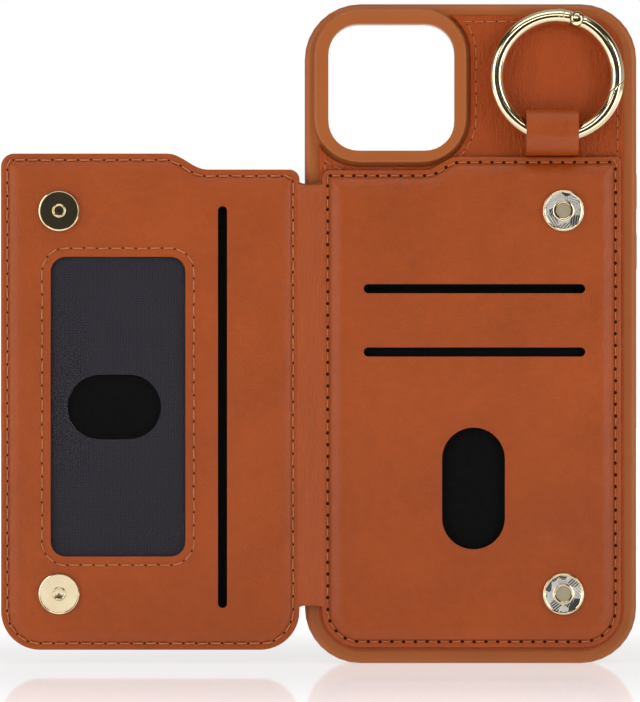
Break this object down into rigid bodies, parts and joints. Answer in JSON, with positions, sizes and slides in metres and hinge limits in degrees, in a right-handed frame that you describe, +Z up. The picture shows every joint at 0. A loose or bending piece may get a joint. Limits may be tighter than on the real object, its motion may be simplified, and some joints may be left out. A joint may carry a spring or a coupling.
{
  "type": "phone wallet case",
  "caption": "Leather phone wallet case with a fold-over card flap, raised card pocket, magnetic snaps, clear card window and a spring ring on a tab.",
  "frame": {"origin": "centre of the open case's footprint, at the level of the shell's bottom edge", "axes": "+Z up the case's height, +Y from the pocket side to the screen side, +X to the right seen from the pocket side"},
  "size_m": [0.1596, 0.0198, 0.1655],
  "materials": {
    "tpu": "soft matt moulded TPU",
    "leather": "smooth fine-grained leather, satin",
    "lining": "black woven lining",
    "board": "grey fibreboard",
    "film": "clear flexible film",
    "thread": "light tan polyester thread",
    "gold": "polished pale gold plate",
    "steel": "nickel-plated"
  },
  "bodies": {
    "case": {"shell": "tpu", "back_leather": "leather", "pocket_backing": "lining", "pocket_divider": "lining", "pocket_front": "leather", "pocket_thread": "thread", "ring_tab": "leather", "pocket_snap_upper_cap": "gold", "pocket_snap_upper_magnet": "steel", "pocket_snap_upper_rivet": "gold", "pocket_snap_upper_washer": "steel", "pocket_snap_lower_cap": "gold", "pocket_snap_lower_magnet": "steel", "pocket_snap_lower_rivet": "gold", "pocket_snap_lower_washer": "steel"},
    "spine": {"spine_inner_leather": "leather", "spine_outer_leather": "leather"},
    "flap": {"flap_inner_leather": "leather", "flap_outer_leather": "leather", "flap_board": "board", "flap_lining": "lining", "id_window": "film", "flap_thread": "thread", "window_thread": "thread", "flap_snap_upper_cap": "gold", "flap_snap_upper_magnet": "steel", "flap_snap_upper_rivet": "gold", "flap_snap_upper_washer": "steel", "flap_snap_lower_cap": "gold", "flap_snap_lower_magnet": "steel", "flap_snap_lower_rivet": "gold", "flap_snap_lower_washer": "steel"},
    "ring": {"ring_body": "gold", "ring_collar": "gold", "gate_pin": "gold", "gate_spring": "steel"},
    "gate": {"ring_gate": "gold"},
    "volume_up": {"volume_up_button": "tpu"},
    "volume_down": {"volume_down_button": "tpu"},
    "side": {"side_button": "tpu"}
  },
  "joints": [
    {"name": "flap_fold", "type": "hinge", "parent": "spine", "child": "flap", "pos_m": [-0.00485, -0.0036, 0.0657], "axis": [0, 0, 1], "range_deg": [0, 90]},
    {"name": "spine_fold", "type": "hinge", "parent": "case", "child": "spine", "pos_m": [0.00045, -0.0036, 0.0657], "axis": [0, 0, 1], "range_deg": [0, 90]},
    {"name": "ring_swing", "type": "hinge", "parent": "case", "child": "ring", "pos_m": [0.0591, -0.00605, 0.13265], "axis": [1, 0, 0], "range_deg": [0, 115]},
    {"name": "gate_open", "type": "hinge", "parent": "ring", "child": "gate", "pos_m": [0.06401, -0.00454, 0.16113], "axis": [0, 0.9986, -0.0528], "range_deg": [0, 30], "stiffness_Nm_per_rad": 0.005, "springref_deg": -11.46},
    {"name": "volume_up_press", "type": "slide", "parent": "case", "child": "volume_up", "axis": [-1, 0, 0], "range_m": [0, 0.0005], "stiffness_N_per_m": 100, "springref_m": -0.0003},
    {"name": "volume_down_press", "type": "slide", "parent": "case", "child": "volume_down", "axis": [-1, 0, 0], "range_m": [0, 0.0005], "stiffness_N_per_m": 100, "springref_m": -0.0003},
    {"name": "side_press", "type": "slide", "parent": "case", "child": "side", "axis": [1, 0, 0], "range_m": [0, 0.0005], "stiffness_N_per_m": 100, "springref_m": -0.0003}
  ],
  "couplings": [
    {"joint": "spine_fold", "follows": "flap_fold", "ratio": 1}
  ]
}
